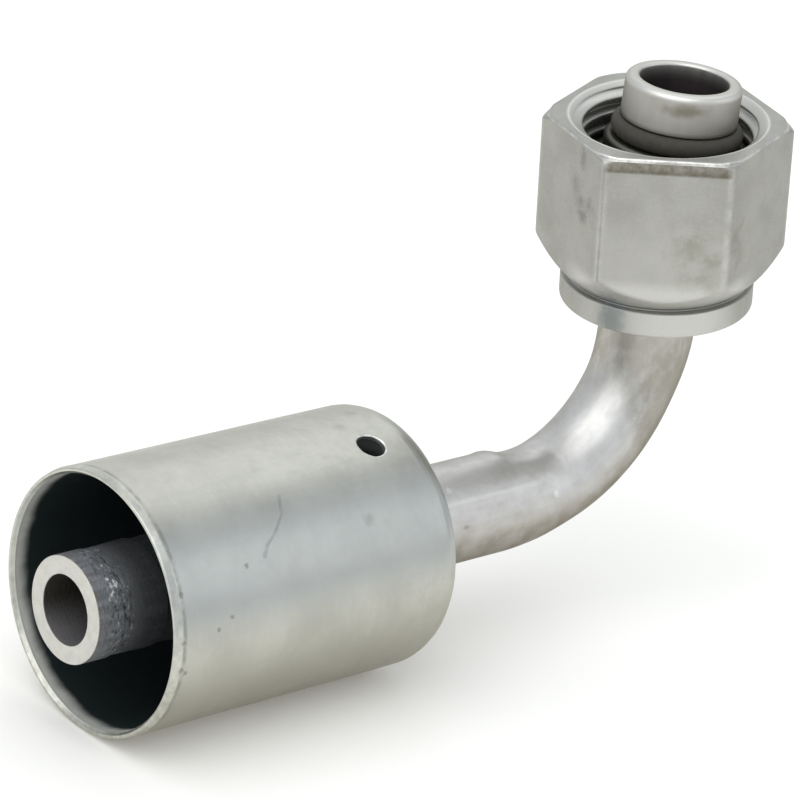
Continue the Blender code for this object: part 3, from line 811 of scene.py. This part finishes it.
def make_stem():
    """Barbed insert with its bright cut end, collar, catch groove and swaged lip."""
    corners = [(STEM_RADIUS, 0.0, 0.12 * MM), (STEM_RADIUS, NOSE_LENGTH, 0.1 * MM)]
    for index in range(BARB_COUNT):
        foot = NOSE_LENGTH + index * BARB_PITCH
        root = STEM_RADIUS - BARB_DEPTH * min(1.0, 0.4 + 0.3 * index)
        corners += [
            (root, foot + 0.15 * MM, 0.12 * MM),
            (root, foot + 0.25 * BARB_PITCH, 0.6 * MM),
            (STEM_RADIUS, foot + 0.85 * BARB_PITCH, 0.4 * MM),
            (STEM_RADIUS, foot + BARB_PITCH, 0.08 * MM),
        ]
    corners = corners[:-1] + [
        (STEM_RADIUS, COLLAR_START, 0.2 * MM),
        (COLLAR_RADIUS, COLLAR_START, 0.2 * MM),
        (COLLAR_RADIUS, CATCH_START, 0.15 * MM),
        (CATCH_RADIUS, CATCH_START, 0.1 * MM),
        (CATCH_RADIUS, CATCH_END, 0.1 * MM),
        (LOCK_RADIUS, CATCH_END, 0.15 * MM),
        (LOCK_RADIUS, STEM_END - 0.2 * MM, 0.6 * MM),
        (SOCKET_RADIUS + 0.6 * MM, STEM_END, 0.2 * MM),
        (SOCKET_RADIUS, STEM_END, 0.1 * MM),
        (SOCKET_RADIUS, SOCKET_START, 0.1 * MM),
        (STEM_BORE_RADIUS, SOCKET_START, 0.1 * MM),
        (STEM_BORE_RADIUS, 0.0, 0.1 * MM),
    ]
    profile = dense(rounded(corners, 4), 0.6 * MM)
    local, faces = turned(profile, STEM_COLUMNS)
    radius = axis_distance(local)
    face = smooth(0.09 * MM, 0.02 * MM, local[:, 2])
    inside = smooth(0.02 * MM, 0.2 * MM, local[:, 2]) * (radius < STEM_BORE_RADIUS + 0.15 * MM)
    points = on_hose_axis(local, stem_low.x)
    build(
        "barbed_stem", points, faces, local, "tube_assembly", "hose_stem", "stem_metal",
        stem_finish(), face=face, inside=inside,
    )


def make_braze():
    """Concave, rippled fillet of filler between the tube and the stem."""
    length = braze_high.x - braze_low.x
    outer = (braze_high.z - braze_low.z) / 2.0
    inner = TUBE_RADIUS + BRAZE_GAP
    profile = [(inner, length)]
    for step in range(8):
        angle = math.pi / 2.0 * (1.0 - step / 7.0)
        across = inner + BRAZE_LIP + (outer - inner - BRAZE_LIP) * (1.0 - math.sin(angle))
        profile.append((across, length * (1.0 - math.cos(angle))))
    profile.append((inner, 0.0))
    local, faces = turned(np.array(profile), BRAZE_COLUMNS)
    ripple = waviness(local, 1.6 * MM, 0.12 * MM, 4.0)
    radius = axis_distance(local)
    free = smooth(inner, outer, radius) * (1.0 - smooth(0.8 * outer, outer, radius))
    local[:, :2] *= (1.0 + ripple * free / radius)[:, None]
    points = on_hose_axis(local, braze_low.x)
    build(
        "braze_fillet", points, faces, local, "tube_assembly", "braze_ring", "braze_filler",
        braze_finish(),
    )


# ---- bent tube

def bend_frame(share):
    """The centreline's place and its direction out of the bend, a share of the way round."""
    angle = share * math.pi / 2.0
    center = np.array((-BEND_RADIUS, 0.0, HOSE_AXIS_Z + BEND_RADIUS))
    outward = np.array((math.sin(angle), 0.0, -math.cos(angle)))
    return center + BEND_RADIUS * outward, outward


def make_tube():
    """Drawn tube: straight, gripped by the bending die, bent, then bead, groove and pilot."""
    angles = turn(TUBE_COLUMNS)
    marked_side = smooth(0.72, 1.0, np.cos(angles - math.pi + DIE_MARK_TURN))
    underside = smooth(-0.45, 0.35, np.cos(angles))
    straight = (0.0, 0.0, -1.0)
    start = tube_low.x
    arc_length = BEND_RADIUS * math.pi / 2.0
    bend_start = -BEND_RADIUS - start
    bend_end = bend_start + arc_length
    die_mark = DIE_MARK_X - start
    points, local, marks = [], [], {}

    def row(center, outward, in_plane, across, along, inside=0.0, shade=0.0, pilot=0.0, polish=0.0):
        """Add a ring of points round the centreline, with its shares of the finishes."""
        first = in_plane * np.cos(angles)
        second = across * np.sin(angles)
        points.append(center + np.outer(first, outward) + np.outer(second, (0.0, 1.0, 0.0)))
        local.append(np.stack((first, second, 0.0 * angles + along), axis=-1))
        # The underside's share of the painted shade, fading out at the end of the bend.
        underside_shade = underside * ((1.0 - inside) * smooth(bend_end, bend_end - UNDERSIDE_SHADE_FADE, along))
        tones = dict(inside=inside, shade=shade, pilot=pilot, polish=polish, underside_shade=underside_shade)
        for name, share in tones.items():
            marks.setdefault(name, []).append(share + 0.0 * angles)

    def radii(along, neck=0.0):
        """The tube's two outer radii: the bending die grips it past the mark, hardest at the top."""
        sharp = smooth(die_mark - 0.6 * MM, die_mark + 2.4 * MM, along)
        soft = smooth(die_mark - 0.5 * MM, die_mark + 8.0 * MM, along)
        grip = soft + (sharp - soft) * 0.6 * marked_side
        rise = math.exp(-((along - die_mark + 0.2 * MM) / (0.8 * MM)) ** 2)
        bump = DIE_MARK_HEIGHT * rise * marked_side
        for flatter in (-0.5, 0.5):
            bent = BEND_TUBE_RADIUS + BEND_FLAT * flatter
            radius = TUBE_RADIUS + (bent - TUBE_RADIUS) * grip + bump
            yield radius * (1.0 - neck) + NECK_RADIUS * neck

    for along in np.linspace(0.0, bend_start, STRAIGHT_ROWS + 1):
        row((start + along, 0.0, HOSE_AXIS_Z), straight, *radii(along), along)
    for share in np.linspace(0.0, 1.0, BEND_ROWS + 1)[1:]:
        center, outward = bend_frame(share)
        along = bend_start + share * arc_length
        row(center, outward, *radii(along, smooth(NECK_BLEND, 1.0, share)), along)
    bend_top = HOSE_AXIS_Z + BEND_RADIUS
    above = bend_end - bend_top
    outline = [
        (NECK_RADIUS, bend_top, 0.0),
        (NECK_RADIUS, -BEAD_FOOT - 0.4 * MM, 0.4 * MM),
        (NECK_RADIUS + 0.3 * MM, -BEAD_FOOT, 0.3 * MM),
        (BEAD_RADIUS, -BEAD_HEIGHT, 0.5 * MM),
        (BEAD_RADIUS, 0.0, 0.5 * MM),
        (GROOVE_RADIUS, 0.0, 0.15 * MM),
        (GROOVE_RADIUS, GROOVE_TOP, 0.1 * MM),
        (PILOT_RADIUS, GROOVE_TOP, 0.12 * MM),
        (PILOT_RADIUS, PILOT_TOP, 0.75 * MM),
        (PILOT_BORE_RADIUS, PILOT_TOP, 0.3 * MM),
        (PILOT_BORE_RADIUS, -PILOT_BORE_DEPTH, 0.2 * MM),
        (TUBE_BORE_RADIUS, -PILOT_BORE_DEPTH - 0.6 * MM, 0.2 * MM),
        (TUBE_BORE_RADIUS, bend_top, 0.0),
    ]
    turned_top = False
    for across, z in dense(rounded(outline, 6), 0.5 * MM)[1:-1]:
        turned_top = turned_top or (z > PILOT_TOP - 0.1 * MM and across < PILOT_BORE_RADIUS + 0.3 * MM)
        depth = smooth(PILOT_TOP - 0.3 * MM, PILOT_TOP - 1.6 * MM, z) if turned_top else 0.0
        if across <= TUBE_BORE_RADIUS + 1e-6 and z <= bend_top + 1e-6:
            break
        shade = smooth(SHADE_START, SHADE_FULL, z) * smooth(GROOVE_TOP + 0.5 * MM, GROOVE_TOP, z)
        polish = smooth(PILOT_TOP - 0.75 * MM, PILOT_TOP - 0.3 * MM, z) * (1.0 - depth)
        pilot = smooth(GROOVE_TOP, GROOVE_TOP + 0.3 * MM, z) * (1.0 - polish)
        row(
            (0.0, 0.0, z), (1.0, 0.0, 0.0), across, across, z + above, depth,
            shade=shade, pilot=pilot, polish=polish,
        )
    bore = (TUBE_BORE_RADIUS, TUBE_BORE_RADIUS)
    for share in np.linspace(1.0, 0.0, BEND_ROWS // 2 + 1):
        center, outward = bend_frame(share)
        row(center, outward, *bore, bend_start + share * arc_length, 1.0)
    for share in (0.75, 0.5, 0.25, 0.0):
        along = bend_start * share
        row((start + along, 0.0, HOSE_AXIS_Z), straight, *bore, along, 1.0)

    marks = {name: np.concatenate(shares) for name, shares in marks.items()}
    build(
        "elbow_tube", np.vstack(points), ring_quads(len(points), TUBE_COLUMNS), np.vstack(local),
        "tube_assembly", "bent_tube", "drawn_aluminium", tube_finish(), **marks,
    )


def make_ring():
    """Seal in the groove at the foot of the pilot, a little taller than wide in section."""
    angles = turn(RING_SIDES)
    across = RING_OUTER - RING_HALF_WIDTH * (1.0 - np.cos(angles))
    profile = np.column_stack((across, RING_HALF_HEIGHT * np.sin(angles)))
    local, faces = turned(profile, RING_COLUMNS)
    points = local + np.array((0.0, 0.0, RING_HALF_HEIGHT + RING_LIFT))
    build(
        "seal_ring", points, faces, local, "tube_assembly", "port_o_ring", "dark_rubber",
        ring_finish(),
    )


# ---- swivel nut

def face_angle(face):
    """The direction that a flat faces, about the nut's own axis."""
    return NUT_TURN + HALF_FACE * (1 + 2 * face)


def hexagon_radius(angles, z):
    """Distance from the axis to the hexagon's flats, with slightly rounded corners."""
    apothem = ACROSS_FLATS / 2.0
    total = np.zeros_like(angles)
    for face in range(6):
        flat = apothem
        if face == FRONT_FACE:
            flat -= max(0.0, z - (NUT_TOP - BEVEL_HEIGHT)) * BEVEL_SLOPE
        facing = np.clip(np.cos(angles - face_angle(face)), 0.0, None)
        total += (facing * apothem / flat) ** SHARPNESS
    return apothem * total ** (-1.0 / SHARPNESS)


def trimmed(first, second):
    """The smaller of two radii, rounded where they meet."""
    return (first ** -SHARPNESS + second ** -SHARPNESS) ** (-1.0 / SHARPNESS)


def thread_radius(angles, z):
    """Radius of the internal right-hand thread at a height."""
    turns = (z - THREAD_BOTTOM) / THREAD_PITCH - angles / math.tau
    phase = np.abs(turns - np.floor(turns) - 0.5) * 2.0
    climb = np.clip((phase - 0.25) / 0.6, 0.0, 1.0)
    climb = climb * climb * (3.0 - 2.0 * climb) * 0.35 + climb * 0.65
    return THREAD_MINOR + (THREAD_MAJOR - THREAD_MINOR) * climb


def nut_rows(angles):
    """Rows of (radius at each angle, height, depth of shade), up outside and down through the nut."""
    corner = ACROSS_FLATS / math.sqrt(3.0)
    reach = corner + 1.0 * MM
    slope = math.tan(math.radians(30.0))
    bottom_slope = (HEX_BOTTOM - UNDERCUT_Z) / (corner - UNDERCUT_RADIUS)
    edge = NUT_TOP_EDGE
    rows = []

    def row(radius, z, depth=0.0):
        """Add a row. Its radius is a number, or one at each angle."""
        rows.append((radius + 0.0 * angles, z, depth))

    outline = [
        (NUT_HOLE_RADIUS, NUT_BOTTOM, 0.2 * MM),
        (NUT_COLLAR_RADIUS, NUT_BOTTOM, 0.35 * MM),
        (NUT_COLLAR_RADIUS, NUT_COLLAR_TOP, 0.18 * MM),
        (UNDERCUT_RADIUS, UNDERCUT_Z, 0.12 * MM),
        (reach, HEX_BOTTOM + (reach - corner) * bottom_slope, 0.0),
        (reach, NUT_TOP - (reach - TOP_CHAMFER_RADIUS) * slope, 0.0),
        (TOP_CHAMFER_RADIUS, NUT_TOP, 0.0),
    ]
    for radius, z in dense(rounded(outline, 6), 0.3 * MM, 0.05 * MM):
        if z > NUT_TOP - edge or (radius < COUNTERSINK_RADIUS and z > 0.0):
            continue
        if radius > NUT_COLLAR_RADIUS + 1e-6 or z >= UNDERCUT_Z + 1e-6:
            radius = trimmed(hexagon_radius(angles, z), radius)
        row(radius, z)
    top = trimmed(hexagon_radius(angles, NUT_TOP - edge), TOP_CHAMFER_RADIUS + edge / slope)
    for step in range(7):
        angle = math.pi / 2.0 * step / 6.0
        row(top - edge * (1.0 - math.cos(angle)), NUT_TOP - edge + edge * math.sin(angle))
    for share in (0.15, 0.5, 0.85):
        row((top - edge) * (1.0 - share) + (COUNTERSINK_RADIUS + COUNTERSINK_EDGE) * share, NUT_TOP)
    for step in range(4):
        angle = math.pi / 4.0 * step / 3.0
        ease = 1.0 - math.sin(angle) / math.sin(math.pi / 4.0)
        drop = COUNTERSINK_DROP * (1.0 - math.cos(angle))
        row(COUNTERSINK_RADIUS + COUNTERSINK_EDGE * ease, NUT_TOP - drop)
    z = THREAD_TOP
    while z > THREAD_BOTTOM:
        cone = COUNTERSINK_RADIUS - (NUT_TOP - z) * COUNTERSINK_SLOPE
        depth = smooth(2.0 * MM, 7.0 * MM, NUT_TOP - z)
        row(np.maximum(thread_radius(angles, z), cone), z, depth)
        z -= THREAD_PITCH / THREAD_STEPS
    row(THREAD_MAJOR, THREAD_BOTTOM - 0.1 * MM, 1.0)
    for share in (0.0, 0.3, 0.6, 0.92):
        radius = THREAD_MAJOR + (NUT_HOLE_RADIUS - THREAD_MAJOR) * share
        row(radius, THREAD_BOTTOM - 0.25 * MM + (SHOULDER_INNER_Z - THREAD_BOTTOM) * share, 1.0)
    for z in (SHOULDER_INNER_Z - 0.2 * MM, -3.0 * MM, -4.6 * MM, NUT_BOTTOM + 0.4 * MM):
        row(NUT_HOLE_RADIUS, z, 1.0)
    return rows


def nut_marks(local, inside):
    """Shares of the nut's finishes: its bevel, edges of wear and painted highlight, painted light in the
    mouth and painted shade in the crevice.
    """
    height = local[:, 2]
    below = NUT_TOP - height
    radius = axis_distance(local)
    azimuth = np.arctan2(local[:, 1], local[:, 0])
    edge = NUT_TOP_EDGE
    outer = radius > COUNTERSINK_RADIUS + 0.3 * MM
    rim = smooth(1.6 * edge, edge, below)

    away = np.abs(np.remainder(azimuth - face_angle(FRONT_FACE) + math.pi, math.tau) - math.pi)
    blur = math.radians(1.0)
    on_front = smooth(HALF_FACE + blur, HALF_FACE - blur, away)
    bevel = on_front * outer * (1.0 - rim)
    bevel *= smooth(BEVEL_HEIGHT + 0.05 * MM, BEVEL_HEIGHT - 0.1 * MM, below)

    # Bright corners and top rim: partly wear, partly a painted highlight that is strongest on the front
    # flat.
    corner_away = np.abs(np.remainder(azimuth - NUT_TURN + HALF_FACE, 2.0 * HALF_FACE) - HALF_FACE)
    wear_and_highlight = smooth(math.radians(2.6), math.radians(0.6), corner_away) * CORNER_WEAR_AND_HIGHLIGHT
    wear_and_highlight *= smooth(UNDERCUT_Z, HEX_BOTTOM + 1.0 * MM, height)
    wear_and_highlight *= smooth(1e-6, 0.5 * edge, below)
    rounding = smooth(1e-6, 0.3 * edge, below) * rim
    wear_and_highlight = np.maximum(wear_and_highlight, rounding * (0.5 + 0.5 * on_front)) * outer

    # Where the painted shade in the crevice goes.
    crevice = smooth(NUT_COLLAR_TOP - 0.1 * MM, NUT_COLLAR_TOP, height) * (inside < 1.0)
    crevice *= smooth(UNDERCUT_Z + 0.35 * MM, UNDERCUT_Z + 0.1 * MM, height)
    # Painted light in the mouth of the nut.
    mouth = 0.9 * smooth(5.0 * MM, 0.5 * MM, below)
    mouth *= radius < COUNTERSINK_RADIUS + 0.12 * MM
    return dict(inside=inside, bevel=bevel, edge=wear_and_highlight, mouth=mouth, crevice=crevice)


def make_nut():
    """Hexagon nut with a turned collar and a cut thread, along its own leaning axis."""
    angles = turn(NUT_COLUMNS)
    rows = nut_rows(angles)
    local = np.vstack([around(radius, z, angles) for radius, z, depth in rows])
    marks = nut_marks(local, np.repeat([depth for radius, z, depth in rows], NUT_COLUMNS))
    joint = joints["nut_spin"]
    axis = Vector(joint["axis"]).normalized()
    points = placed(local, joint["pos_m"], (axis.z, 0.0, -axis.x), (0.0, 1.0, 0.0), axis)
    build(
        "hexagon_nut", points, ring_quads(len(rows), NUT_COLUMNS), local, "nut", "swivel_nut",
        "matte_zinc_plate", nut_finish(), **marks,
    )


# ---- studio

def make_camera():
    """Long lens, above the hose end and to one side, with a slight roll."""
    data = bpy.data.cameras.new("camera")
    data.sensor_width = 36.0
    data.lens = LENS
    data.clip_start = 0.01
    data.clip_end = 20.0
    camera = add_object("camera", data)
    forward = Vector(CAMERA_FORWARD).normalized()
    down = Vector(CAMERA_DOWN).normalized()
    right = down.cross(forward).normalized()
    up = right.cross(forward).normalized()
    basis = Matrix((right, up, -forward)).transposed()
    camera.matrix_world = Matrix.Translation(CAMERA_PLACE) @ basis.to_4x4()
    bpy.context.scene.camera = camera


def make_floor():
    """Plain white floor, lifted by a little light of its own, as a light table is."""
    mesh = bpy.data.meshes.new("floor")
    corners = [(x * FLOOR_REACH, y * FLOOR_REACH, 0.0) for x, y in ((-1, -1), (1, -1), (1, 1), (-1, 1))]
    mesh.from_pydata(corners, [], [(0, 1, 2, 3)])
    material = bpy.data.materials.new("floor_paper")
    material.use_nodes = True
    shader = material.node_tree.nodes["Principled BSDF"]
    shader.inputs["Base Color"].default_value = (0.87, 0.86, 0.83, 1.0)
    shader.inputs["Roughness"].default_value = 0.9
    shader.inputs["Specular IOR Level"].default_value = 0.0
    shader.inputs["Emission Color"].default_value = (1.0, 0.95, 0.85, 1.0)
    shader.inputs["Emission Strength"].default_value = FLOOR_GLOW
    mesh.materials.append(material)
    floor = add_object("floor", mesh)
    floor.location.z = FLOOR_Z


def soft_box(name, azimuth, elevation, size, radiance):
    """A square light in a direction, in degrees, from the object. Its radiance adds to the world's."""
    data = bpy.data.lights.new(name, "AREA")
    data.size = size
    data.energy = radiance * math.pi * size * size
    light = add_object(name, data)
    azimuth, elevation = math.radians(azimuth), math.radians(elevation)
    direction = Vector((
        math.cos(azimuth) * math.cos(elevation),
        math.sin(azimuth) * math.cos(elevation),
        math.sin(elevation),
    ))
    light.location = Vector(LIGHT_CENTER) + direction * LIGHT_DISTANCE
    light.rotation_euler = (-direction).to_track_quat("-Z", "Y").to_euler()


def make_lights():
    """Even grey-white surroundings, a big soft light over the hose end, and weaker ones elsewhere."""
    world = bpy.data.worlds.new("studio")
    world.use_nodes = True
    background = world.node_tree.nodes["Background"]
    background.inputs["Color"].default_value = (*SKY, 1.0)
    bpy.context.scene.world = world
    for name, settings in SOFT_LIGHTS.items():
        soft_box(name, *settings)


make_camera()
make_floor()
make_lights()
make_ferrule()
make_stem()
make_braze()
make_tube()
make_ring()
make_nut()
bpy.context.scene.view_settings.view_transform = "Standard"
